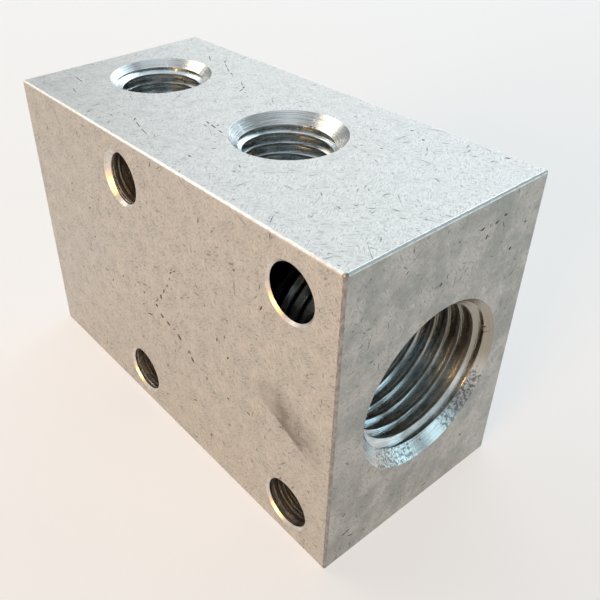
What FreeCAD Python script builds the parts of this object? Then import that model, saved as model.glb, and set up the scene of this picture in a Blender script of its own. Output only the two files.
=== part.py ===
# Air manifold block
# One aluminium block. A tapped inlet in the right end runs into a blind gallery.
# Two tapped outlets in the top drop into that gallery. Four plain holes go from
# front to back and clear every passage.
# Frame in mm: X along the length, Y from front to back, Z up.
# The origin is the middle of the bottom face.
import math
import os

import FreeCAD
import Part

# Block
LENGTH = 63.5
WIDTH = 30.0
HEIGHT = 42.0
EDGE_BREAK = 0.3

# The ports share one upright plane, this far behind the middle of the block
PORTS_BEHIND_MIDDLE = 0.75

# Drills leave a 118 degree point
DRILL_POINT_DEG = 118.0
POINT_RISE = 1.0 / math.tan(math.radians(DRILL_POINT_DEG / 2.0))

# Gallery and the inlet that opens it, on one axis a little below mid-height
GALLERY_BELOW_MIDDLE = 0.65
GALLERY_R = 5.5
INLET_TAP_R = 9.125
INLET_RIM_R = 11.0
INLET_DRILL_DEPTH = 18.0

# Outlets, and the smaller feed drillings under them.
# FEED_LAND is the straight wall of a feed drilling above the gallery's crown.
OUTLET_TAP_R = 5.55
OUTLET_RIM_R = 7.15
OUTLET_FROM_LEFT = 11.5
OUTLET_PITCH = 27.0
OUTLET_COUNT = 2
FEED_R = 4.0
FEED_LAND = 1.2

# The gallery runs this far past the wall of the last feed drilling
GALLERY_PAST_FEED = 1.0

# Mounting holes, front to back, in two columns and two rows
MOUNT_R = 3.25
MOUNT_BREAK = 0.25
MOUNT_COLUMN_PITCH = 31.0
MOUNT_FROM_RIGHT = 7.0
MOUNT_FROM_BOTTOM = 5.25
MOUNT_FROM_TOP = 5.75

# Cutters start this far outside the face they open
OVERSHOOT = 1.0

# Values that follow from the ones above
LEFT_X = -LENGTH / 2.0
RIGHT_X = LENGTH / 2.0
FRONT_Y = -WIDTH / 2.0
GALLERY_Z = HEIGHT / 2.0 - GALLERY_BELOW_MIDDLE
OUTLET_SHOULDER = (OUTLET_TAP_R - FEED_R) * POINT_RISE
OUTLET_DRILL_DEPTH = HEIGHT - GALLERY_Z - GALLERY_R - FEED_LAND - OUTLET_SHOULDER
OUTLET_XS = [LEFT_X + OUTLET_FROM_LEFT + i * OUTLET_PITCH for i in range(OUTLET_COUNT)]
GALLERY_LENGTH = RIGHT_X - OUTLET_XS[0] + FEED_R + GALLERY_PAST_FEED
MOUNT_RIGHT_X = RIGHT_X - MOUNT_FROM_RIGHT
MOUNT_XS = [MOUNT_RIGHT_X - MOUNT_COLUMN_PITCH, MOUNT_RIGHT_X]
MOUNT_ZS = [MOUNT_FROM_BOTTOM, HEIGHT - MOUNT_FROM_TOP]


def turned_cutter(profile, mouth, inward):
    """Solid of revolution from (radius, depth) points, set on a mouth and a direction."""
    points = [FreeCAD.Vector(r, 0.0, d) for r, d in profile]
    wire = Part.makePolygon(points + [points[0]])
    axis_foot = FreeCAD.Vector(0.0, 0.0, 0.0)
    axis = FreeCAD.Vector(0.0, 0.0, 1.0)
    solid = Part.Face(wire).revolve(axis_foot, axis, 360.0)
    turn = FreeCAD.Rotation(axis, FreeCAD.Vector(*inward))
    solid.Placement = FreeCAD.Placement(FreeCAD.Vector(*mouth), turn)
    return solid


def port_profile(rim_r, tap_r, drill_depth, bore_r, bore_depth, pointed):
    """Chamfered tap bore, the shoulder its drill leaves, then a smaller bore."""
    shoulder = (tap_r - bore_r) * POINT_RISE
    profile = [
        (0.0, -OVERSHOOT),
        (rim_r + OVERSHOOT, -OVERSHOOT),
        (rim_r, 0.0),
        (tap_r, rim_r - tap_r),
        (tap_r, drill_depth),
        (bore_r, drill_depth + shoulder),
        (bore_r, bore_depth),
    ]
    tip = bore_r * POINT_RISE if pointed else 0.0
    profile.append((0.0, bore_depth + tip))
    return profile


def inlet_cutter():
    profile = port_profile(
        INLET_RIM_R, INLET_TAP_R, INLET_DRILL_DEPTH, GALLERY_R, GALLERY_LENGTH, True
    )
    return turned_cutter(profile, (RIGHT_X, PORTS_BEHIND_MIDDLE, GALLERY_Z), (-1, 0, 0))


def outlet_cutter(x):
    # The feed drilling stops on the gallery's axis, inside the open gallery
    profile = port_profile(
        OUTLET_RIM_R, OUTLET_TAP_R, OUTLET_DRILL_DEPTH, FEED_R, HEIGHT - GALLERY_Z, False
    )
    return turned_cutter(profile, (x, PORTS_BEHIND_MIDDLE, HEIGHT), (0, 0, -1))


def mount_cutter(x, z):
    rim_r = MOUNT_R + MOUNT_BREAK
    profile = [
        (0.0, -OVERSHOOT),
        (rim_r + OVERSHOOT, -OVERSHOOT),
        (rim_r, 0.0),
        (MOUNT_R, MOUNT_BREAK),
        (MOUNT_R, WIDTH - MOUNT_BREAK),
        (rim_r, WIDTH),
        (rim_r + OVERSHOOT, WIDTH + OVERSHOOT),
        (0.0, WIDTH + OVERSHOOT),
    ]
    return turned_cutter(profile, (x, FRONT_Y, z), (0, 1, 0))


def build_block():
    corner = FreeCAD.Vector(LEFT_X, FRONT_Y, 0.0)
    block = Part.makeBox(LENGTH, WIDTH, HEIGHT, corner)
    block = block.makeChamfer(EDGE_BREAK, block.Edges)
    passages = inlet_cutter().fuse([outlet_cutter(x) for x in OUTLET_XS])
    mounts = [mount_cutter(x, z) for x in MOUNT_XS for z in MOUNT_ZS]
    block = block.cut([passages] + mounts)
    return block.removeSplitter()


def main():
    os.makedirs("parts", exist_ok=True)
    block = build_block()
    if not block.isValid() or len(block.Solids) != 1:
        raise ValueError("the block is not one valid solid")
    solid = block.Solids[0]
    solid.exportStep("parts/manifold_block.step")
    box = solid.BoundBox
    print("size %.3f x %.3f x %.3f mm" % (box.XLength, box.YLength, box.ZLength))
    print("volume %.1f mm3, faces %d" % (solid.Volume, len(solid.Faces)))


main()
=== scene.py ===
# Air manifold block: one tumbled aluminium block with a tapped inlet in its end, two tapped
# outlets in its top, and four drilled holes from front to back.
# The block is shaped in millimetres in the row's frame and turned to metres at the end.
import math
import random

import bpy
from mathutils import Matrix, Vector


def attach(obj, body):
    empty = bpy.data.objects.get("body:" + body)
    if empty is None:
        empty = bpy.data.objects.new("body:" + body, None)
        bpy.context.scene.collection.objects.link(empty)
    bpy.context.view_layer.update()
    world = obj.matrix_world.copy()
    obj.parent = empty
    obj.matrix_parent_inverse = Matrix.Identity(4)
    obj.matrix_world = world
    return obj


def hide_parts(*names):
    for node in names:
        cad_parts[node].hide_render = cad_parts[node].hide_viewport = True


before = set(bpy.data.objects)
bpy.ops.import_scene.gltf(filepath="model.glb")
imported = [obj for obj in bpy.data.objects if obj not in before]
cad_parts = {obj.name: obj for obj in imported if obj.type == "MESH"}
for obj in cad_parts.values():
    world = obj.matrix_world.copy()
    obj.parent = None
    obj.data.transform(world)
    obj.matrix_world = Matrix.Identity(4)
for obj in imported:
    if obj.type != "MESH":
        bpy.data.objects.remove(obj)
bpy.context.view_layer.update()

# Block, as in the CAD model (mm)
LENGTH = 63.5
WIDTH = 30.0
HEIGHT = 42.0
EDGE_BREAK = 0.3
RIGHT_X = LENGTH / 2
FRONT_Y = -WIDTH / 2

# Gallery, and the inlet that opens it
PORT_Y = 0.75
GALLERY_BELOW_MIDDLE = 0.65
GALLERY_Z = HEIGHT / 2 - GALLERY_BELOW_MIDDLE
GALLERY_R = 5.5
INLET_R = 9.125
INLET_RIM_R = 11.0
INLET_DRILL = 18.0

# Outlets, and the feed drillings under them
OUTLET_R = 5.55
OUTLET_RIM_R = 7.15
OUTLET_DRILL = 14.02
OUTLET_FROM_LEFT = 11.5
OUTLETS_APART = 27.0
OUTLET_XS = (OUTLET_FROM_LEFT - RIGHT_X, OUTLET_FROM_LEFT + OUTLETS_APART - RIGHT_X)
FEED_R = 4.0
GALLERY_PAST_FEED = 1.0
GALLERY_LENGTH = RIGHT_X - OUTLET_XS[0] + FEED_R + GALLERY_PAST_FEED

# Drills leave a 118 degree point
POINT_RISE = 1.0 / math.tan(math.radians(118.0 / 2.0))

# Taper pipe threads: pitch, depth of full thread, root radius at the mouth, and the height of
# one crest at angle 0, as the photograph shows it
INLET_PITCH = 1.8143
INLET_THREAD = 15.5
INLET_ROOT_R = 10.3
INLET_PHASE = -2.14
OUTLET_PITCH = 1.4111
OUTLET_THREAD = 11.5
OUTLET_ROOT_R = 6.45
OUTLET_PHASES = (-2.45, -2.99)
THREAD_TAPER = 1.0 / 32.0
THREAD_FLANK = math.radians(30.0)
THREAD_ROOT_FLAT = 0.07
# The tap's own crests stay this far inside the tap drill's wall
CREST_INSIDE = 0.06

# The inlet's countersink sits a little off its thread's axis: across and up
SINK_OFF_Y = -0.33
SINK_OFF_Z = -0.27
# The countersinks' tips end this far inside the tap drills' walls
INLET_SINK_INSIDE = 0.7
OUTLET_SINK_INSIDE = 0.3

# Mounting holes
HOLE_R = 3.25
HOLES_APART = 31.0
HOLE_FROM_RIGHT = 7.0
HOLE_FROM_BOTTOM = 5.25
HOLE_XS = (RIGHT_X - HOLE_FROM_RIGHT - HOLES_APART, RIGHT_X - HOLE_FROM_RIGHT)
HOLE_ZS = (HOLE_FROM_BOTTOM, HOLE_FROM_BOTTOM + HOLES_APART)
HOLE_BREAK = 0.30
HOLE_BREAK_INSIDE = 0.4
# The upper left hole's deburring leans out to its upper left
HOLE_LEAN = 0.18
# Rings that the drill's feed leaves: the first one's depth, how far apart, and how deep
RING_FIRST = 0.35
RINGS_APART = (0.18, 0.30)
RING_GROOVES = (0.01, 0.02, 0.03, 0.04)

# Cutters start this far outside the face they open
OVERSHOOT = 1.0
TAP_OVERSHOOT = 0.6
DEBURR_OVERSHOOT = 0.5

# Facets round each bore
INLET_STEPS = 144
OUTLET_STEPS = 112
HOLE_STEPS = 56

# The surface coordinates of the six flat faces lie this far apart: by axis, and by side
AXES_APART = 80.0
SIDES_APART = 280.0

# Faces that meet at less than this angle are shaded smooth
SMOOTH_BELOW = math.radians(32.0)

# A millimetre in metres
MM = 0.001

# Slots of the block's materials
TUMBLED, DEBURRED, SUNK, TAPPED, DRILLED, PITTED = range(6)


# Small tools

def deselect_all():
    if bpy.context.mode != "OBJECT":
        bpy.ops.object.mode_set(mode="OBJECT")
    bpy.ops.object.select_all(action="DESELECT")


def make_active(piece):
    deselect_all()
    piece.select_set(True)
    bpy.context.view_layer.objects.active = piece


def apply_modifier(piece, kind, **settings):
    make_active(piece)
    modifier = piece.modifiers.new(kind.lower(), kind)
    for key, value in settings.items():
        setattr(modifier, key, value)
    bpy.ops.object.modifier_apply(modifier=modifier.name)


def set_slot(piece, index):
    """Gives every face of a cutter the metal that the faces it leaves will have."""
    for metal in metals:
        piece.data.materials.append(metal)
    piece.data.polygons.foreach_set("material_index", [index] * len(piece.data.polygons))


def drawn_profile(name, points):
    """A chain of edges through (radius, height) points, extruded one from the next."""
    deselect_all()
    bpy.ops.mesh.primitive_plane_add(size=1.0)
    chain = bpy.context.object
    chain.name = name
    bpy.ops.object.mode_set(mode="EDIT")
    bpy.ops.mesh.select_mode(type="VERT")
    bpy.ops.mesh.select_all(action="SELECT")
    bpy.ops.mesh.merge(type="CENTER")
    bpy.ops.transform.translate(value=(points[0][0], 0.0, points[0][1]))
    for (r0, z0), (r1, z1) in zip(points, points[1:]):
        step = {"value": (r1 - r0, 0.0, z1 - z0)}
        bpy.ops.mesh.extrude_vertices_move(TRANSFORM_OT_translate=step)
    bpy.ops.object.mode_set(mode="OBJECT")
    return chain


def clean_solid():
    bpy.ops.mesh.select_all(action="SELECT")
    bpy.ops.mesh.remove_doubles(threshold=0.0005)
    bpy.ops.mesh.select_all(action="SELECT")
    bpy.ops.mesh.normals_make_consistent(inside=False)


def turned(name, points, steps):
    """A solid of revolution about Z from a profile that starts and ends on the axis."""
    piece = drawn_profile(name, points)
    bpy.ops.object.mode_set(mode="EDIT")
    bpy.ops.mesh.select_all(action="SELECT")
    bpy.ops.mesh.spin(steps=steps, angle=math.tau, center=(0, 0, 0), axis=(0, 0, 1))
    clean_solid()
    bpy.ops.object.mode_set(mode="OBJECT")
    return piece


def placed(piece, origin, towards):
    """Turns a cutter drawn along +Z, with its mouth at height 0, to face out of the block."""
    columns = {
        "+Z": ((1, 0, 0), (0, 1, 0), (0, 0, 1)),
        "+X": ((0, 1, 0), (0, 0, 1), (1, 0, 0)),
        "-Y": ((1, 0, 0), (0, 0, 1), (0, -1, 0)),
    }[towards]
    turn = Matrix(columns).transposed().to_4x4()
    piece.data.transform(Matrix.Translation(origin) @ turn)
    return piece


def joined(name, pieces):
    deselect_all()
    for piece in pieces:
        piece.select_set(True)
    bpy.context.view_layer.objects.active = pieces[0]
    if len(pieces) > 1:
        bpy.ops.object.join()
    pieces[0].name = name
    return pieces[0]


def cut(block, cutter, **settings):
    apply_modifier(
        block, "BOOLEAN", operation="DIFFERENCE", solver="EXACT", object=cutter, **settings
    )
    bpy.data.objects.remove(cutter)


# Camera, at the photograph's place

# Solved from the block's edges and rims: metres, degrees, and mm for the lens
CAMERA_PLACE = (0.065805, -0.052297, 0.07673)
CAMERA_TURN = (54.6467, 1.3355, 51.5435)
CAMERA_LENS = 43.455
CAMERA_SHIFT = (0.0995, -0.0263)


def place_camera():
    data = bpy.data.cameras.new("camera")
    data.sensor_width = 36.0
    data.lens = CAMERA_LENS
    data.shift_x, data.shift_y = CAMERA_SHIFT
    data.clip_start = 0.005
    data.clip_end = 20.0
    camera = bpy.data.objects.new("camera", data)
    bpy.context.collection.objects.link(camera)
    camera.location = CAMERA_PLACE
    camera.rotation_euler = [math.radians(angle) for angle in CAMERA_TURN]
    bpy.context.scene.camera = camera


# The block's shape

def sawn_block():
    """The bar, cut to size, with its edges deburred round."""
    deselect_all()
    bpy.ops.mesh.primitive_cube_add(size=1.0, location=(0, 0, HEIGHT / 2))
    block = bpy.context.object
    block.name = "manifold_block_tumbled"
    block.scale = (LENGTH, WIDTH, HEIGHT)
    bpy.ops.object.transform_apply(location=True, rotation=True, scale=True)
    bpy.ops.object.mode_set(mode="EDIT")
    bpy.ops.mesh.select_all(action="SELECT")
    bpy.ops.mesh.bevel(offset=EDGE_BREAK, segments=3, affect="EDGES", profile=0.5)
    bpy.ops.object.mode_set(mode="OBJECT")
    set_slot(block, TUMBLED)
    widest_strip = LENGTH * EDGE_BREAK
    for face in block.data.polygons:
        if face.area < widest_strip:
            face.material_index = DEBURRED
    return block


def tap(name, crest_r, root_r, pitch, depth, phase, steps):
    """The solid that a taper pipe tap leaves: a right-hand helix, its roots closing in with depth.

    The crests are the tap drill's wall, so the tool's own crest stays just inside that wall.
    phase is the height of one crest's middle at angle 0.
    """
    inner_r = crest_r - CREST_INSIDE
    flank = (root_r - inner_r) * math.tan(THREAD_FLANK)
    crest_flat = pitch - THREAD_ROOT_FLAT - 2.0 * flank
    lead = 2.0 * pitch
    turns = math.ceil((depth + lead) / pitch) + 3
    low = phase - pitch * math.ceil((depth + lead + phase) / pitch + 1.0)
    profile = [
        (inner_r, low),
        (inner_r, low + crest_flat / 2.0),
        (root_r, low + crest_flat / 2.0 + flank),
        (root_r, low + crest_flat / 2.0 + flank + THREAD_ROOT_FLAT),
        (inner_r, low + pitch - crest_flat / 2.0),
        (inner_r, low + pitch),
    ]
    piece = drawn_profile(name, profile)
    apply_modifier(
        piece, "SCREW", axis="Z", angle=math.tau, screw_offset=pitch, iterations=turns,
        steps=steps, render_steps=steps, use_merge_vertices=True, merge_threshold=0.0005,
    )
    # The taper, and the tap's lead that fades the last turns out
    for vertex in piece.data.vertices:
        x, y, z = vertex.co
        r = math.hypot(x, y)
        limit = root_r + z * THREAD_TAPER
        if z < -depth:
            left = max(0.0, 1.0 + (z + depth) / lead)
            limit = min(limit, inner_r + (limit - inner_r) * left)
        new_r = inner_r + (r - inner_r) * (limit - inner_r) / (root_r - inner_r)
        vertex.co = (x * new_r / r, y * new_r / r, z)
    bpy.ops.object.mode_set(mode="EDIT")
    for height, outer in ((-depth - lead, False), (TAP_OVERSHOOT, True)):
        bpy.ops.mesh.select_all(action="SELECT")
        bpy.ops.mesh.bisect(
            plane_co=(0, 0, height), plane_no=(0, 0, 1), use_fill=True,
            clear_outer=outer, clear_inner=not outer, threshold=0.0001,
        )
    clean_solid()
    bpy.ops.object.mode_set(mode="OBJECT")
    return piece


def inlet_drill():
    shoulder = (INLET_R - GALLERY_R) * POINT_RISE
    return turned("inlet_drill", [
        (0.0, OVERSHOOT), (INLET_R, OVERSHOOT), (INLET_R, -INLET_DRILL),
        (GALLERY_R, -INLET_DRILL - shoulder), (GALLERY_R, -GALLERY_LENGTH),
        (0.0, -GALLERY_LENGTH - GALLERY_R * POINT_RISE),
    ], INLET_STEPS)


def outlet_drill():
    shoulder = (OUTLET_R - FEED_R) * POINT_RISE
    feed_end = GALLERY_Z - HEIGHT
    return turned("outlet_drill", [
        (0.0, OVERSHOOT), (OUTLET_R, OVERSHOOT), (OUTLET_R, -OUTLET_DRILL),
        (FEED_R, -OUTLET_DRILL - shoulder), (FEED_R, feed_end), (0.0, feed_end),
    ], OUTLET_STEPS)


def countersink(name, rim_r, tip_r, steps):
    """A 45 degree cone, open above the face and ending inside the bore."""
    return turned(name, [
        (0.0, OVERSHOOT), (rim_r + OVERSHOOT, OVERSHOOT),
        (tip_r, tip_r - rim_r), (0.0, tip_r - rim_r),
    ], steps)


def hole_drill(seed):
    """A through drill whose feed leaves rings in the wall, uneven in depth and spacing."""
    draw = random.Random(seed)
    points = [(0.0, OVERSHOOT), (HOLE_R, OVERSHOOT)]
    depth = RING_FIRST
    while depth < WIDTH - 0.5:
        step = draw.uniform(*RINGS_APART)
        groove = draw.choice(RING_GROOVES)
        points.append((HOLE_R, -depth))
        points.append((HOLE_R + groove, -depth - step * 0.45))
        depth += step
    far_end = -WIDTH - OVERSHOOT
    points += [(HOLE_R, -WIDTH + 0.3), (HOLE_R, far_end), (0.0, far_end)]
    return turned("hole_drill", points, HOLE_STEPS)


def deburr_tool(rim_r):
    """A shallow cone for both mouths of a through hole, at heights 0 and -WIDTH."""
    tip_r = HOLE_R - HOLE_BREAK_INSIDE
    mouth_r = rim_r + DEBURR_OVERSHOOT
    tools = []
    ends = (
        ("deburr_front", DEBURR_OVERSHOOT, tip_r - rim_r),
        ("deburr_back", -WIDTH - DEBURR_OVERSHOOT, -WIDTH - tip_r + rim_r),
    )
    for name, mouth, tip in ends:
        profile = [(0.0, mouth), (mouth_r, mouth), (tip_r, tip), (0.0, tip)]
        tools.append(turned(name, profile, HOLE_STEPS))
    return tools


def cut_in_metal(block, name, pieces, slot):
    """Cuts several tools out of the block at once and leaves their faces in one metal."""
    for piece in pieces:
        set_slot(piece, slot)
    cut(block, joined(name, pieces))


def machined_block():
    block = sawn_block()
    inlet = (RIGHT_X, PORT_Y, GALLERY_Z)
    outlets = [(x, PORT_Y, HEIGHT) for x in OUTLET_XS]
    holes = [(x, FRONT_Y, z) for x in HOLE_XS for z in HOLE_ZS]

    drills = [placed(inlet_drill(), inlet, "+X")]
    drills += [placed(hole_drill(i), spot, "-Y") for i, spot in enumerate(holes)]
    cut_in_metal(block, "drills_along", drills, DRILLED)
    drops = [placed(outlet_drill(), spot, "+Z") for spot in outlets]
    cut_in_metal(block, "drills_down", drops, DRILLED)

    inlet_tap = tap("inlet_tap", INLET_R, INLET_ROOT_R, INLET_PITCH, INLET_THREAD,
                    INLET_PHASE, INLET_STEPS)
    taps = [placed(inlet_tap, inlet, "+X")]
    for spot, phase in zip(outlets, OUTLET_PHASES):
        outlet_tap = tap("outlet_tap", OUTLET_R, OUTLET_ROOT_R, OUTLET_PITCH, OUTLET_THREAD,
                         phase, OUTLET_STEPS)
        taps.append(placed(outlet_tap, spot, "+Z"))
    cut_in_metal(block, "taps", taps, TAPPED)

    sink_spot = (RIGHT_X, PORT_Y + SINK_OFF_Y, GALLERY_Z + SINK_OFF_Z)
    inlet_sink = countersink("inlet_sink", INLET_RIM_R, INLET_R - INLET_SINK_INSIDE, INLET_STEPS)
    sinks = [placed(inlet_sink, sink_spot, "+X")]
    for spot in outlets:
        tip_r = OUTLET_R - OUTLET_SINK_INSIDE
        outlet_sink = countersink("outlet_sink", OUTLET_RIM_R, tip_r, OUTLET_STEPS)
        sinks.append(placed(outlet_sink, spot, "+Z"))
    for piece in sinks:
        set_slot(piece, SUNK)
    for x, y, z in holes:
        lean = HOLE_LEAN if x < 0.0 and z > GALLERY_Z else 0.0
        for piece in deburr_tool(HOLE_R + HOLE_BREAK + lean):
            piece = placed(piece, (x - lean, y, z + lean / 2.0), "-Y")
            set_slot(piece, DEBURRED)
            sinks.append(piece)
    cut(block, joined("sinks", sinks))
    return block


# Nicks in the ports' countersinks: which axis they face, place, length, width, angle
SINK_NICKS = (
    ("+X", (RIGHT_X - 0.75, PORT_Y + 9.45, GALLERY_Z + 2.7), 0.9, 0.26, 12),
    ("+X", (RIGHT_X - 0.9, PORT_Y + 0.6, GALLERY_Z - 10.2), 0.5, 0.22, 70),
    ("+Z", (4.77, 6.2, HEIGHT - 1.35), 0.7, 0.22, 60),
    ("+Z", (5.35, 6.4, HEIGHT - 1.35), 0.6, 0.16, 60),
    ("+Z", (-16.4, 5.7, HEIGHT - 0.9), 0.5, 0.16, -40),
)

# The smear on the front: its corner in surface mm, its turn in degrees and its length in mm
SMEAR_START = (AXES_APART + 18.1, AXES_APART + 21.3, 0.0)
SMEAR_TURN = -25.7
SMEAR_LENGTH = 12.9

# Marks in the front face: distance from the left end, depth below the top, length, width (mm)
# and angle (degrees)
FRONT_MARKS = (
    (36.1, 13.8, 0.7, 0.16, 40), (35.2, 14.5, 0.6, 0.20, 50), (34.8, 15.6, 0.6, 0.18, 70),
    (34.1, 17.0, 0.6, 0.22, 55), (33.2, 18.3, 0.8, 0.30, 70), (32.3, 19.7, 0.8, 0.46, 75),
    (31.2, 20.9, 1.1, 0.14, 50), (31.0, 21.8, 0.6, 0.44, 20), (32.1, 22.9, 0.7, 0.50, -20),
    (33.5, 23.3, 0.9, 0.50, -15), (35.9, 24.1, 1.0, 0.56, -35), (38.0, 25.2, 0.6, 0.42, -30),
    (38.6, 26.0, 0.7, 0.48, -45), (41.6, 27.2, 0.4, 0.34, 90), (29.0, 24.4, 1.5, 0.20, 20),
    (28.1, 21.3, 0.4, 0.30, 0), (37.2, 17.1, 0.4, 0.26, 0), (44.2, 19.2, 0.6, 0.26, 80),
    (45.7, 17.9, 0.4, 0.26, 30), (46.2, 20.7, 0.5, 0.26, 60), (45.9, 27.4, 0.4, 0.34, 10),
    (49.8, 26.9, 0.6, 0.26, -20), (46.0, 31.8, 0.4, 0.26, 0), (41.8, 37.2, 0.7, 0.24, 20),
    (47.9, 7.5, 0.4, 0.24, 0), (52.3, 9.9, 0.8, 0.22, 60), (41.9, 4.2, 0.7, 0.18, 80),
    (15.5, 13.9, 0.4, 0.22, 60), (10.9, 11.9, 0.5, 0.22, 30), (15.6, 18.5, 0.5, 0.22, 80),
    (19.3, 24.0, 0.5, 0.20, 80), (22.6, 21.6, 0.4, 0.22, 10), (38.5, 33.2, 1.2, 0.16, 30),
    (31.3, 37.4, 0.5, 0.20, 40), (60.3, 30.9, 0.4, 0.20, 0), (28.0, 17.8, 0.7, 0.12, 0),
    (26.9, 17.9, 0.8, 0.10, 8), (40.6, 14.6, 0.9, 0.12, -10), (42.0, 15.4, 0.6, 0.14, -40),
)

# Marks in the top face: distance from the left end and from the back edge, length, width, angle
TOP_MARKS = (
    (13.2, 4.2, 1.0, 0.18, -40), (14.6, 5.1, 1.6, 0.12, -32), (16.3, 6.0, 1.5, 0.14, -28),
    (18.0, 6.7, 1.4, 0.12, -22), (10.4, 4.9, 2.6, 0.12, -32), (21.9, 8.0, 1.4, 0.10, -30),
    (23.2, 8.7, 0.7, 0.26, -55), (23.8, 9.6, 1.1, 0.14, -62), (29.6, 19.4, 0.9, 0.18, -15),
    (31.0, 19.6, 1.3, 0.22, -8), (32.8, 19.9, 0.9, 0.20, -6), (22.7, 25.5, 0.8, 0.18, -45),
    (24.4, 26.1, 1.8, 0.12, -16), (26.8, 26.7, 2.0, 0.10, -12), (5.4, 23.9, 2.6, 0.12, -6),
    (8.7, 26.4, 1.8, 0.10, -14), (50.0, 4.0, 0.4, 0.34, 0), (35.8, 26.5, 0.5, 0.26, 0),
    (31.1, 19.0, 0.5, 0.18, 80), (47.4, 2.9, 0.5, 0.18, 40), (59.0, 0.9, 0.6, 0.30, 30),
    (33.0, 6.0, 0.6, 0.12, 50), (44.1, 6.3, 0.7, 0.12, -60), (40.2, 4.8, 0.5, 0.14, 20),
    (36.0, 23.3, 0.7, 0.12, 35), (41.5, 23.9, 0.6, 0.14, -20), (48.4, 9.2, 0.5, 0.14, 10),
)

# Marks in the right end: distance from the front edge, depth below the top, length, width, angle
END_MARKS = (
    (19.5, 3.1, 0.6, 0.30, 20), (21.9, 3.2, 0.7, 0.24, 10), (23.2, 2.8, 0.6, 0.28, -10),
    (20.5, 4.4, 0.6, 0.30, 70), (13.9, 7.3, 0.5, 0.30, 60), (14.8, 6.7, 0.6, 0.16, 80),
    (25.5, 7.8, 0.5, 0.40, 0), (23.6, 35.3, 0.5, 0.26, 0), (3.2, 37.6, 1.4, 0.24, 10),
    (4.0, 38.8, 1.0, 0.20, -20), (2.6, 34.0, 0.6, 0.22, 30), (27.4, 5.2, 0.4, 0.20, 0),
    (6.1, 29.0, 0.7, 0.14, 50), (17.5, 40.1, 0.8, 0.12, 10), (8.3, 3.4, 0.5, 0.14, 40),
)


def gouge(length, width, angle, spot, side):
    """A long flat bead, half sunk in a face, that leaves one nick. Wide nicks are deeper."""
    deselect_all()
    bpy.ops.mesh.primitive_ico_sphere_add(subdivisions=2, radius=1.0)
    bead = bpy.context.object
    depth = 0.05 + 0.22 * width
    bead.data.transform(Matrix.Diagonal((length / 2.0, width / 2.0, depth, 1.0)))
    bead.data.transform(Matrix.Rotation(math.radians(angle), 4, "Z"))
    return placed(bead, spot, side)


def nicked(block):
    beads = []
    for x, down, length, width, angle in FRONT_MARKS:
        spot = (x - RIGHT_X, FRONT_Y, HEIGHT - down)
        beads.append(gouge(length, width, angle, spot, "-Y"))
    for x, back, length, width, angle in TOP_MARKS:
        spot = (x - RIGHT_X, WIDTH / 2.0 - back, HEIGHT)
        beads.append(gouge(length, width, angle, spot, "+Z"))
    for y, down, length, width, angle in END_MARKS:
        spot = (RIGHT_X, FRONT_Y + y, HEIGHT - down)
        beads.append(gouge(length, width, angle, spot, "+X"))
    for side, spot, length, width, angle in SINK_NICKS:
        beads.append(gouge(length, width, angle, spot, side))
    for bead in beads:
        set_slot(bead, PITTED)
    # Some nicks overlap each other
    cut(block, joined("nick_beads", beads), use_self=True)
    return block


# Surface coordinates in millimetres

def port_axis(c):
    """Which axis the machined face at c turns about: its direction and its centre."""
    for x in HOLE_XS:
        for z in HOLE_ZS:
            if math.hypot(c.x - x, c.z - z) < HOLE_R + 2.0 * HOLE_BREAK:
                return "Y", (x, z)
    for x in OUTLET_XS:
        if c.z > GALLERY_Z + 4.5 and math.hypot(c.x - x, c.y - PORT_Y) < OUTLET_RIM_R + 0.1:
            return "Z", (x, PORT_Y)
    return "X", (PORT_Y, GALLERY_Z)


def lay_coordinates(block):
    """A UV map in mm: flat faces by their plane, machined ones by arc length and depth."""
    mesh = block.data
    while mesh.uv_layers:
        mesh.uv_layers.remove(mesh.uv_layers[0])
    layer = mesh.uv_layers.new(name="surface_mm").data
    across = {"X": (1, 2, 0), "Y": (0, 2, 1), "Z": (0, 1, 2)}
    for face in mesh.polygons:
        n = face.normal
        c = face.center
        if face.material_index in (TUMBLED, DEBURRED, PITTED):
            axis = max(range(3), key=lambda k: abs(n[k]))
            a, b = [(1, 2), (0, 2), (0, 1)][axis]
            shift = AXES_APART * axis + (SIDES_APART if n[axis] > 0 else 0.0)
            for k in face.loop_indices:
                co = mesh.vertices[mesh.loops[k].vertex_index].co
                layer[k].uv = (co[a] + shift, co[b] + shift)
            continue
        name, centre = port_axis(c)
        a, b, depth = across[name]
        middle = math.atan2(c[b] - centre[1], c[a] - centre[0])
        radius = math.hypot(c[b] - centre[1], c[a] - centre[0])
        for k in face.loop_indices:
            co = mesh.vertices[mesh.loops[k].vertex_index].co
            turn = math.atan2(co[b] - centre[1], co[a] - centre[0]) - middle
            turn = (turn + math.pi) % math.tau - math.pi
            layer[k].uv = ((middle + turn) * radius, co[depth])


# Materials

def linear(code):
    """An sRGB hex colour as linear RGBA."""
    parts = [int(code[i:i + 2], 16) / 255.0 for i in (1, 3, 5)]
    return [v / 12.92 if v <= 0.04045 else ((v + 0.055) / 1.055) ** 2.4 for v in parts] + [1.0]


def add(tree, kind, result, settings, inputs):
    """Adds a node with its settings and inputs, values or sockets, and gives one of its outputs."""
    node = tree.nodes.new(kind)
    for key, value in settings.items():
        setattr(node, key, value)
    for key, value in inputs.items():
        if isinstance(value, bpy.types.NodeSocket):
            tree.links.new(value, node.inputs[key])
        else:
            node.inputs[key].default_value = value
    return node.outputs[result]


def bare_metal(name):
    """A new metal with its colour, roughness and normal still to come, and its surface in mm."""
    material = bpy.data.materials.new(name)
    material.use_nodes = True
    tree = material.node_tree
    shader = tree.nodes["Principled BSDF"]
    shader.inputs["Metallic"].default_value = 1.0
    place = add(tree, "ShaderNodeUVMap", "UV", {"uv_map": "surface_mm"}, {})
    return material, tree, shader, place


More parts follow.
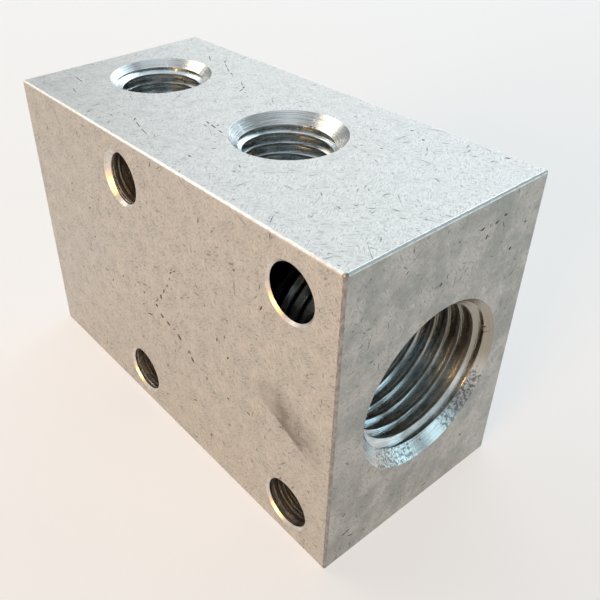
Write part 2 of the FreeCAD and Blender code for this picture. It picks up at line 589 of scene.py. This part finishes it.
def dashes(tree, place, crowd, cell, length, width, keep):
    """Short scratches, one to a cell, each with its own place, turn and length.

    crowd is a socket, 0 to 1, that says how many of them are kept where it is read.
    """
    spot = add(tree, "ShaderNodeTexVoronoi", "Position", {"voronoi_dimensions": "2D"},
               {"Vector": place, "Scale": 1.0 / cell})
    chance = add(tree, "ShaderNodeSeparateColor", "Red", {}, {"Color": spot.node.outputs["Color"]})
    offset = add(tree, "ShaderNodeVectorMath", "Vector", {"operation": "SUBTRACT"},
                 {0: place, 1: spot})
    angle = add(tree, "ShaderNodeMath", 0, {"operation": "MULTIPLY"}, {0: chance, 1: math.tau})
    turned_place = add(tree, "ShaderNodeVectorRotate", "Vector", {"rotation_type": "Z_AXIS"},
                       {"Vector": offset, "Angle": angle})
    along = add(tree, "ShaderNodeSeparateXYZ", "X", {}, {"Vector": turned_place})
    beside = add(tree, "ShaderNodeMath", 0, {"operation": "ABSOLUTE"}, {0: along.node.outputs["Y"]})
    along = add(tree, "ShaderNodeMath", 0, {"operation": "ABSOLUTE"}, {0: along})
    reach = add(tree, "ShaderNodeMath", 0, {"operation": "MULTIPLY_ADD"},
                {0: chance.node.outputs["Green"], 1: length * 0.4, 2: length * 0.12})
    inside = add(tree, "ShaderNodeMapRange", 0, {"interpolation_type": "SMOOTHSTEP"},
                 {"Value": along, "From Min": reach, "From Max": 0.0, "To Min": 0.0, "To Max": 1.0})
    thin = add(tree, "ShaderNodeMapRange", 0, {"interpolation_type": "SMOOTHSTEP"},
               {"Value": beside, "From Min": width * 0.6, "From Max": width * 0.15,
                "To Min": 0.0, "To Max": 1.0})
    limit = add(tree, "ShaderNodeMath", 0, {"operation": "MULTIPLY"}, {0: crowd, 1: keep})
    kept = add(tree, "ShaderNodeMath", 0, {"operation": "LESS_THAN"},
               {0: chance.node.outputs["Blue"], 1: limit})
    both = add(tree, "ShaderNodeMath", 0, {"operation": "MULTIPLY"}, {0: inside, 1: thin})
    return add(tree, "ShaderNodeMath", 0, {"operation": "MULTIPLY"}, {0: both, 1: kept})


def rings(tree, place, width, run):
    """Tool marks that run round a bore: run mm long along the arc, width mm apart in depth."""
    drawn_out = add(tree, "ShaderNodeMapping", 0, {},
                    {"Vector": place, "Scale": (1.0 / run, 1.0 / width, 1.0)})
    return add(tree, "ShaderNodeTexNoise", "Fac", {"noise_dimensions": "2D"},
               {"Vector": drawn_out, "Scale": 1.0, "Detail": 2.0})


def zone_on_inlet(tree, place, middle, reach, depth, span):
    """1 near a place along the inlet's arc, in mm up from its back side, and 0 from reach mm away.

    It holds for the faces whose x is within span of depth.
    """
    arc = add(tree, "ShaderNodeSeparateXYZ", "X", {}, {"Vector": place})
    here = add(tree, "ShaderNodeMath", 0, {"operation": "COMPARE"},
               {0: arc.node.outputs["Y"], 1: depth, 2: span})
    away = add(tree, "ShaderNodeMath", 0, {"operation": "SUBTRACT"}, {0: arc, 1: middle})
    away = add(tree, "ShaderNodeMath", 0, {"operation": "ABSOLUTE"}, {0: away})
    inside = add(tree, "ShaderNodeMapRange", 0, {"interpolation_type": "SMOOTHSTEP"},
                 {"Value": away, "From Min": reach, "From Max": reach - 4.2,
                  "To Min": 0.0, "To Max": 1.0})
    return add(tree, "ShaderNodeMath", 0, {"operation": "MULTIPLY"}, {0: inside, 1: here})


def smear_on_front(tree, place, cloud):
    """A faint dark smear low on the front's right, sharp below and fading upwards."""
    # Laid along u, with v = 0 on the sharp edge: the edge runs 58 degrees down to the right
    turn = math.radians(SMEAR_TURN)
    laid = add(tree, "ShaderNodeMapping", 0, {"vector_type": "TEXTURE"},
               {"Vector": place, "Location": SMEAR_START, "Rotation": (0.0, 0.0, turn)})
    along = add(tree, "ShaderNodeSeparateXYZ", "X", {}, {"Vector": laid})
    away = along.node.outputs["Y"]
    sharp = add(tree, "ShaderNodeMapRange", 0, {"interpolation_type": "SMOOTHSTEP"},
                {"Value": away, "From Min": -0.85, "From Max": -0.25, "To Min": 0.0, "To Max": 1.0})
    fade = add(tree, "ShaderNodeMapRange", 0, {"interpolation_type": "SMOOTHSTEP"},
               {"Value": away, "From Min": 5.5, "From Max": 0.3, "To Min": 0.0, "To Max": 1.0})
    half = SMEAR_LENGTH * 0.56
    middle = add(tree, "ShaderNodeMath", 0, {"operation": "SUBTRACT"}, {0: along, 1: half})
    middle = add(tree, "ShaderNodeMath", 0, {"operation": "ABSOLUTE"}, {0: middle})
    ends = add(tree, "ShaderNodeMapRange", 0, {"interpolation_type": "SMOOTHSTEP"},
               {"Value": middle, "From Min": half, "From Max": 0.5, "To Min": 0.0, "To Max": 1.0})
    band = add(tree, "ShaderNodeMath", 0, {"operation": "MULTIPLY"}, {0: sharp, 1: fade})
    band = add(tree, "ShaderNodeMath", 0, {"operation": "MULTIPLY"}, {0: band, 1: ends})
    patchy = add(tree, "ShaderNodeMapRange", 0, {},
                 {"Value": cloud, "From Min": 0.35, "From Max": 0.6, "To Min": 0.9, "To Max": 0.55})
    return add(tree, "ShaderNodeMath", 0, {"operation": "MULTIPLY"}, {0: band, 1: patchy})


def finish_with(tree, shader, base, rough, relief):
    """Gives a metal its colour, roughness and relief."""
    tree.links.new(base, shader.inputs["Base Color"])
    tree.links.new(rough, shader.inputs["Roughness"])
    tree.links.new(relief, shader.inputs["Normal"])


def tumbled_aluminium():
    """Aluminium tumbled with stones: dull and pale, flecked, and nicked by the stones all over."""
    material, tree, shader, place = bare_metal("tumbled_aluminium")
    # Stone marks bend a little, by up to 0.1 mm over 2.5 mm
    sway = add(tree, "ShaderNodeTexNoise", "Color", {"noise_dimensions": "2D"},
               {"Vector": place, "Scale": 1.0 / 2.5, "Detail": 0.0})
    sway = add(tree, "ShaderNodeVectorMath", 0, {"operation": "SCALE"}, {0: sway, "Scale": 0.2})
    bent = add(tree, "ShaderNodeVectorMath", 0, {"operation": "ADD"}, {0: place, 1: sway})
    # Flecks of 0.3 mm, clouds of 2 mm and of 9 mm
    fleck = add(tree, "ShaderNodeTexNoise", "Fac", {"noise_dimensions": "2D"},
                {"Vector": bent, "Scale": 1.0 / 0.3, "Detail": 2.0, "Roughness": 0.65})
    cloud = add(tree, "ShaderNodeTexNoise", "Fac", {"noise_dimensions": "2D"},
                {"Vector": place, "Scale": 1.0 / 2.1, "Detail": 3.0, "Roughness": 0.6})
    patch = add(tree, "ShaderNodeTexNoise", "Fac", {"noise_dimensions": "2D"},
                {"Vector": place, "Scale": 1.0 / 9.0, "Detail": 2.0})
    crowd = add(tree, "ShaderNodeMapRange", 0, {},
                {"Value": patch, "From Min": 0.35, "From Max": 0.62, "To Min": 0.2, "To Max": 1.0})
    short = dashes(tree, bent, crowd, 0.8, 0.8, 0.17, 0.45)
    middle = dashes(tree, bent, crowd, 1.6, 1.5, 0.2, 0.4)
    long = dashes(tree, bent, crowd, 5.0, 5.5, 0.13, 0.3)
    short = add(tree, "ShaderNodeMath", 0, {"operation": "MULTIPLY"}, {0: short, 1: 0.7})
    marks = add(tree, "ShaderNodeMath", 0, {"operation": "MAXIMUM"}, {0: short, 1: middle})
    marks = add(tree, "ShaderNodeMath", 0, {"operation": "MAXIMUM"}, {0: marks, 1: long})
    tone = add(tree, "ShaderNodeMapRange", 0, {},
               {"Value": cloud, "From Min": 0.34, "From Max": 0.66})
    base = add(tree, "ShaderNodeMix", 2, {"data_type": "RGBA"},
               {0: tone, 6: linear("#C2C0BB"), 7: linear("#CFCDC9")})
    # Strokes 1 mm long and 0.15 mm wide, some one way and some the other
    ways = []
    for turn, length in ((38.0, 1.0), (-56.0, 0.9)):
        way = add(tree, "ShaderNodeMapping", 0, {"vector_type": "TEXTURE"},
                  {"Vector": bent, "Rotation": (0.0, 0.0, math.radians(turn)),
                   "Scale": (length, 0.15, 1.0)})
        ways.append(add(tree, "ShaderNodeTexNoise", "Fac", {"noise_dimensions": "2D"},
                        {"Vector": way, "Scale": 1.0, "Detail": 1.0}))
    which = add(tree, "ShaderNodeMapRange", 0, {},
                {"Value": cloud, "From Min": 0.42, "From Max": 0.58})
    strokes = add(tree, "ShaderNodeMix", 0, {}, {0: which, 2: ways[0], 3: ways[1]})
    stroke = add(tree, "ShaderNodeMapRange", 0, {},
                 {"Value": strokes, "From Min": 0.47, "From Max": 0.32, "To Min": 0.0, "To Max": 0.5})
    base = add(tree, "ShaderNodeMix", 2, {"data_type": "RGBA"},
               {0: stroke, 6: base, 7: linear("#94918C")})
    dark_fleck = add(tree, "ShaderNodeMapRange", 0, {},
                     {"Value": fleck, "From Min": 0.42, "From Max": 0.26, "To Min": 0.0, "To Max": 0.35})
    base = add(tree, "ShaderNodeMix", 2, {"data_type": "RGBA"},
               {0: dark_fleck, 6: base, 7: linear("#8B8B89")})
    light_fleck = add(tree, "ShaderNodeMapRange", 0, {},
                      {"Value": fleck, "From Min": 0.56, "From Max": 0.74, "To Min": 0.0, "To Max": 0.4})
    base = add(tree, "ShaderNodeMix", 2, {"data_type": "RGBA"},
               {0: light_fleck, 6: base, 7: linear("#DEDEDC")})
    # Painted shade: the inlet's face is painted a shade darker than the other faces, and mottled in
    # patches of 5 mm. It lies within a WIDTH of u = SIDES_APART.
    across = add(tree, "ShaderNodeSeparateXYZ", "X", {}, {"Vector": place})
    on_end = add(tree, "ShaderNodeMath", 0, {"operation": "COMPARE"},
                 {0: across, 1: SIDES_APART, 2: WIDTH})
    end_shade_and_mottle = add(tree, "ShaderNodeTexNoise", "Fac", {"noise_dimensions": "2D"},
                 {"Vector": place, "Scale": 1.0 / 5.0, "Detail": 4.0, "Roughness": 0.65})
    end_shade_and_mottle = add(tree, "ShaderNodeMapRange", 0, {},
                 {"Value": end_shade_and_mottle, "From Min": 0.38, "From Max": 0.6, "To Min": 0.7, "To Max": 0.1})
    end_shade_and_mottle = add(tree, "ShaderNodeMath", 0, {"operation": "MULTIPLY"}, {0: end_shade_and_mottle, 1: on_end})
    base = add(tree, "ShaderNodeMix", 2, {"data_type": "RGBA"},
               {0: end_shade_and_mottle, 6: base, 7: linear("#9A9E9C")})
    stain = smear_on_front(tree, place, cloud)
    base = add(tree, "ShaderNodeMix", 2, {"data_type": "RGBA"},
               {0: stain, 6: base, 7: linear("#87807A")})
    dust_and_shade = add(tree, "ShaderNodeMapRange", 0, {},
               {"Value": cloud, "From Min": 0.4, "From Max": 0.62, "To Min": 0.85, "To Max": 0.35})
    scored = add(tree, "ShaderNodeMath", 0, {"operation": "MULTIPLY"}, {0: marks, 1: dust_and_shade})
    base = add(tree, "ShaderNodeMix", 2, {"data_type": "RGBA"},
               {0: scored, 6: base, 7: linear("#565553")})
    rough = add(tree, "ShaderNodeMapRange", 0, {},
                {"Value": cloud, "From Min": 0.3, "From Max": 0.7, "To Min": 0.5, "To Max": 0.57})
    relief = add(tree, "ShaderNodeMath", 0, {"operation": "MULTIPLY_ADD"},
                 {0: marks, 1: -1.2, 2: fleck})
    wave = add(tree, "ShaderNodeBump", 0, {},
               {"Height": cloud, "Distance": 0.00004, "Strength": 0.3})
    relief = add(tree, "ShaderNodeBump", 0, {},
                 {"Height": relief, "Distance": 0.00002, "Strength": 0.6, "Normal": wave})
    finish_with(tree, shader, base, rough, relief)
    return material


def deburred_aluminium():
    """Edges rounded in the tumbler: brighter and smoother than the faces, but for one edge painted dark
    as shade.
    """
    material, tree, shader, place = bare_metal("deburred_aluminium")
    wear = add(tree, "ShaderNodeTexNoise", "Fac", {"noise_dimensions": "2D"},
               {"Vector": place, "Scale": 1.0 / 0.7, "Detail": 3.0, "Roughness": 0.6})
    shade = add(tree, "ShaderNodeMapRange", 0, {},
                {"Value": wear, "From Min": 0.35, "From Max": 0.65})
    base = add(tree, "ShaderNodeMix", 2, {"data_type": "RGBA"},
               {0: shade, 6: linear("#D2D1CE"), 7: linear("#E6E5E2")})
    # Painted shade: the upright edge between the front and the inlet's face is painted dark, where shade
    # falls
    spot = add(tree, "ShaderNodeTexCoord", "Object", {}, {})
    spot = add(tree, "ShaderNodeSeparateXYZ", "X", {}, {"Vector": spot})
    right = add(tree, "ShaderNodeMath", 0, {"operation": "GREATER_THAN"},
                {0: spot, 1: MM * (RIGHT_X - 1.5 * EDGE_BREAK)})
    front = add(tree, "ShaderNodeMath", 0, {"operation": "LESS_THAN"},
                {0: spot.node.outputs["Y"], 1: MM * (FRONT_Y + 1.5 * EDGE_BREAK)})
    shaded_edge = add(tree, "ShaderNodeMath", 0, {"operation": "MULTIPLY"}, {0: right, 1: front})
    edge_shade_depth = add(tree, "ShaderNodeMapRange", 0, {},
                 {"Value": wear, "From Min": 0.38, "From Max": 0.62, "To Min": 0.74, "To Max": 0.6})
    shaded_edge = add(tree, "ShaderNodeMath", 0, {"operation": "MULTIPLY"}, {0: shaded_edge, 1: edge_shade_depth})
    base = add(tree, "ShaderNodeMix", 2, {"data_type": "RGBA"},
               {0: shaded_edge, 6: base, 7: linear("#71675F")})
    rough = add(tree, "ShaderNodeMapRange", 0, {},
                {"Value": wear, "From Min": 0.3, "From Max": 0.7, "To Min": 0.48, "To Max": 0.38})
    relief = add(tree, "ShaderNodeBump", 0, {},
                 {"Height": wear, "Distance": 0.00002, "Strength": 0.3})
    finish_with(tree, shader, base, rough, relief)
    return material


def countersunk_aluminium():
    """Cut by a countersink that chattered: bright, ringed, and pebbled where the tool bounced."""
    material, tree, shader, place = bare_metal("countersunk_aluminium")
    # The cone's slope is 1.41 times as long as its depth
    along_slope = add(tree, "ShaderNodeMapping", 0, {},
                      {"Vector": place, "Scale": (1.0, math.sqrt(2.0), 1.0)})
    pebble = add(tree, "ShaderNodeTexNoise", "Fac", {"noise_dimensions": "2D"},
                 {"Vector": along_slope, "Scale": 1.0 / 0.42, "Detail": 3.0, "Roughness": 0.75})
    turn = rings(tree, place, 0.16, 7.0)
    zone = add(tree, "ShaderNodeTexNoise", "Fac", {"noise_dimensions": "2D"},
               {"Vector": place, "Scale": 1.0 / 4.5, "Detail": 1.0})
    # Along the inlet's cone, in mm from its back side: it chattered at -7 and -21, and round 7 it is
    # painted darker and warmer, as painted shade
    near = zone_on_inlet(tree, place, -7.4, 5.6, RIGHT_X, 2.5)
    far = zone_on_inlet(tree, place, -21.2, 5.8, RIGHT_X, 2.5)
    shaded_sector = zone_on_inlet(tree, place, 7.5, 12.5, RIGHT_X, 2.5)
    bounce = add(tree, "ShaderNodeMapRange", 0, {},
                 {"Value": zone, "From Min": 0.45, "From Max": 0.62, "To Min": 0.35, "To Max": 0.75})
    bounce = add(tree, "ShaderNodeMath", 0, {"operation": "ADD"}, {0: bounce, 1: near})
    bounce = add(tree, "ShaderNodeMath", 0, {"operation": "ADD", "use_clamp": True},
                 {0: bounce, 1: far})
    chatter = add(tree, "ShaderNodeMath", 0, {"operation": "MULTIPLY"}, {0: pebble, 1: bounce})
    dark = add(tree, "ShaderNodeMapRange", 0, {},
               {"Value": chatter, "From Min": 0.46, "From Max": 0.58, "To Min": 0.0, "To Max": 0.85})
    bright = add(tree, "ShaderNodeMix", 2, {"data_type": "RGBA"},
                 {0: shaded_sector, 6: linear("#D6D7D6"), 7: linear("#ABA497")})
    ringed = add(tree, "ShaderNodeMapRange", 0, {},
                 {"Value": turn, "From Min": 0.5, "From Max": 0.3, "To Min": 0.0, "To Max": 0.22})
    bright = add(tree, "ShaderNodeMix", 2, {"data_type": "RGBA"},
                 {0: ringed, 6: bright, 7: linear("#8C877F")})
    base = add(tree, "ShaderNodeMix", 2, {"data_type": "RGBA"},
               {0: dark, 6: bright, 7: linear("#6F6F6A")})
    fine = add(tree, "ShaderNodeBump", 0, {},
               {"Height": turn, "Distance": 0.00002, "Strength": 1.0})
    relief = add(tree, "ShaderNodeBump", 0, {},
                 {"Height": chatter, "Distance": 0.00004, "Strength": 1.0, "Normal": fine})
    tree.links.new(base, shader.inputs["Base Color"])
    shader.inputs["Roughness"].default_value = 0.27
    tree.links.new(relief, shader.inputs["Normal"])
    return material


def tapped_aluminium():
    """Thread flanks cut by a tap: shiny, with fine marks along the helix."""
    material, tree, shader, place = bare_metal("tapped_aluminium")
    fine = rings(tree, place, 0.1, 9.0)
    smear = rings(tree, place, 0.45, 2.4)
    shade = add(tree, "ShaderNodeMapRange", 0, {},
                {"Value": smear, "From Min": 0.35, "From Max": 0.65})
    base = add(tree, "ShaderNodeMix", 2, {"data_type": "RGBA"},
               {0: shade, 6: linear("#C2CACC"), 7: linear("#E4EAEC")})
    # Painted shade: round 6.5 mm up from the inlet's back side, the threads are painted darker and
    # warmer
    shaded_sector = zone_on_inlet(tree, place, 6.5, 12.5, 24.0, 7.6)
    base = add(tree, "ShaderNodeMix", 2, {"data_type": "RGBA"},
               {0: shaded_sector, 6: base, 7: linear("#A9A296")})
    rough = add(tree, "ShaderNodeMapRange", 0, {},
                {"Value": smear, "From Min": 0.3, "From Max": 0.7, "To Min": 0.19, "To Max": 0.32})
    relief = add(tree, "ShaderNodeBump", 0, {},
                 {"Height": fine, "Distance": 0.00003, "Strength": 1.0})
    relief = add(tree, "ShaderNodeBump", 0, {},
                 {"Height": smear, "Distance": 0.00003, "Strength": 0.4, "Normal": relief})
    finish_with(tree, shader, base, rough, relief)
    return material


def drilled_aluminium():
    """Drilled walls: scored round by the drill, shiny on the ridges, and painted in a mottled grey
    darker than the outer faces, as shade.
    """
    material, tree, shader, place = bare_metal("drilled_aluminium")
    score = rings(tree, place, 0.13, 6.0)
    # Painted shade: the bore walls are painted a darker, mottled grey than the outer faces
    dust_and_shade = add(tree, "ShaderNodeTexNoise", "Fac", {"noise_dimensions": "2D"},
               {"Vector": place, "Scale": 1.0 / 1.4, "Detail": 3.0, "Roughness": 0.6})
    shade = add(tree, "ShaderNodeMapRange", 0, {},
                {"Value": dust_and_shade, "From Min": 0.35, "From Max": 0.7})
    base = add(tree, "ShaderNodeMix", 2, {"data_type": "RGBA"},
               {0: shade, 6: linear("#B5B1AB"), 7: linear("#8B857E")})
    rough = add(tree, "ShaderNodeMapRange", 0, {},
                {"Value": dust_and_shade, "From Min": 0.3, "From Max": 0.7, "To Min": 0.26, "To Max": 0.44})
    relief = add(tree, "ShaderNodeBump", 0, {},
                 {"Height": score, "Distance": 0.00004, "Strength": 0.9})
    finish_with(tree, shader, base, rough, relief)
    return material


def pitted_aluminium():
    """Nicks and gouges where dark polishing dust has stayed."""
    material, tree, shader, place = bare_metal("pitted_aluminium")
    dust_and_shade = add(tree, "ShaderNodeTexNoise", "Fac", {"noise_dimensions": "2D"},
               {"Vector": place, "Scale": 1.0 / 0.3, "Detail": 2.0})
    shade = add(tree, "ShaderNodeMapRange", 0, {},
                {"Value": dust_and_shade, "From Min": 0.35, "From Max": 0.65})
    base = add(tree, "ShaderNodeMix", 2, {"data_type": "RGBA"},
               {0: shade, 6: linear("#57524C"), 7: linear("#8A857E")})
    tree.links.new(base, shader.inputs["Base Color"])
    shader.inputs["Roughness"].default_value = 0.6
    return material


# Stage and light

# The board's radius, and how far it lies below the block (m)
FLOOR_RADIUS = 2.0
FLOOR_GAP = 0.00002
# The share of the board that is plain white to the camera, and in reflections
FLOOR_WHITE = 0.56
FLOOR_MIRRORED = 0.45
# The backdrop's strength to the camera, in reflections, and as a light
BACKDROP_WHITE = 0.85
BACKDROP_MIRRORED = 0.30
BACKDROP_LIGHT = 0.05


def seen_share(tree, straight, mirrored):
    """One share for camera rays, one for those that metal or glass sends on, 0 for all others."""
    path = add(tree, "ShaderNodeLightPath", "Is Camera Ray", {}, {})
    glossy = path.node.outputs["Is Glossy Ray"]
    sent_through = path.node.outputs["Is Transmission Ray"]
    sent_on = add(tree, "ShaderNodeMath", 0, {"operation": "MAXIMUM"}, {0: glossy, 1: sent_through})
    sent_on = add(tree, "ShaderNodeMath", 0, {"operation": "MULTIPLY"}, {0: sent_on, 1: mirrored})
    return add(tree, "ShaderNodeMath", 0, {"operation": "MULTIPLY_ADD"},
               {0: path, 1: straight, 2: sent_on})


def pale_floor():
    """A matt white board that still holds the block's shadow."""
    deselect_all()
    bpy.ops.mesh.primitive_circle_add(
        vertices=96, radius=FLOOR_RADIUS, fill_type="NGON", location=(0, 0, -FLOOR_GAP)
    )
    floor = bpy.context.object
    floor.name = "pale_floor"
    material = bpy.data.materials.new("pale_matt_board")
    material.use_nodes = True
    tree = material.node_tree
    shader = tree.nodes["Principled BSDF"]
    shader.inputs["Base Color"].default_value = linear("#F4F4F3")
    shader.inputs["Roughness"].default_value = 0.9
    shader.inputs["Specular IOR Level"].default_value = 0.2
    white = add(tree, "ShaderNodeEmission", 0, {}, {"Color": linear("#FFFFFF"), "Strength": 1.0})
    share = seen_share(tree, FLOOR_WHITE, FLOOR_MIRRORED)
    surface = add(tree, "ShaderNodeMixShader", 0, {}, {0: share, 1: shader.outputs[0], 2: white})
    tree.links.new(surface, tree.nodes["Material Output"].inputs["Surface"])
    floor.data.materials.append(material)


# Softboxes: name, turn round the block from +X and height above the floor (degrees), size (m),
# watts, colour
LAMPS = (
    ("overhead", 0, 90, 0.55, 0.60, "#EAF5FF"),
    ("window_left", 176, 46, 0.26, 0.26, "#E4F6FF"),
    ("window_left_back", 127, 31, 0.55, 1.50, "#EEF6FF"),
    ("window_back", 98, 40, 0.36, 0.45, "#D0EEFA"),
    ("window_right", 10, 26, 0.24, 0.30, "#C8EEFA"),
    ("window_low", 50, 9, 0.22, 0.34, "#C0E8F6"),
    ("warm_left_front", 209, 38, 0.34, 1.00, "#FFF0DE"),
    ("warm_front", 282, 16, 0.24, 3.10, "#FFC074"),
)
# All stand this far from the block, and aim this high in it (m)
LAMP_DISTANCE = 0.6
AIM_HEIGHT = 0.02


def studio_light():
    world = bpy.data.worlds.new("studio")
    bpy.context.scene.world = world
    world.use_nodes = True
    tree = world.node_tree
    sky = tree.nodes["Background"]
    sky.inputs["Color"].default_value = linear("#EAF6FB")
    level = add(tree, "ShaderNodeMath", 0, {"operation": "ADD"},
                {0: seen_share(tree, BACKDROP_WHITE, BACKDROP_MIRRORED), 1: BACKDROP_LIGHT})
    tree.links.new(level, sky.inputs["Strength"])
    for name, turn, rise, size, watts, colour in LAMPS:
        data = bpy.data.lights.new(name, "AREA")
        data.shape = "SQUARE"
        data.size = size
        data.energy = watts
        data.color = linear(colour)[:3]
        lamp = bpy.data.objects.new(name, data)
        bpy.context.collection.objects.link(lamp)
        turn = math.radians(turn)
        rise = math.radians(rise)
        flat = math.cos(rise)
        towards = Vector((math.cos(turn) * flat, math.sin(turn) * flat, math.sin(rise)))
        lamp.location = towards * LAMP_DISTANCE + Vector((0.0, 0.0, AIM_HEIGHT))
        lamp.rotation_euler = towards.to_track_quat("Z", "Y").to_euler()
        lamp.visible_camera = False


place_camera()
metals = [make() for make in (tumbled_aluminium, deburred_aluminium, countersunk_aluminium,
                              tapped_aluminium, drilled_aluminium, pitted_aluminium)]
block = nicked(machined_block())
lay_coordinates(block)
make_active(block)
bpy.ops.object.shade_smooth_by_angle(angle=SMOOTH_BELOW)
apply_modifier(block, "WEIGHTED_NORMAL", keep_sharp=True, weight=80)
block.data.transform(Matrix.Scale(MM, 4))
block.data.update()
print("block triangles", sum(len(f.vertices) - 2 for f in block.data.polygons))
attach(block, "root")
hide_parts("manifold_block")
pale_floor()
studio_light()
bpy.context.scene.view_settings.view_transform = "Standard"
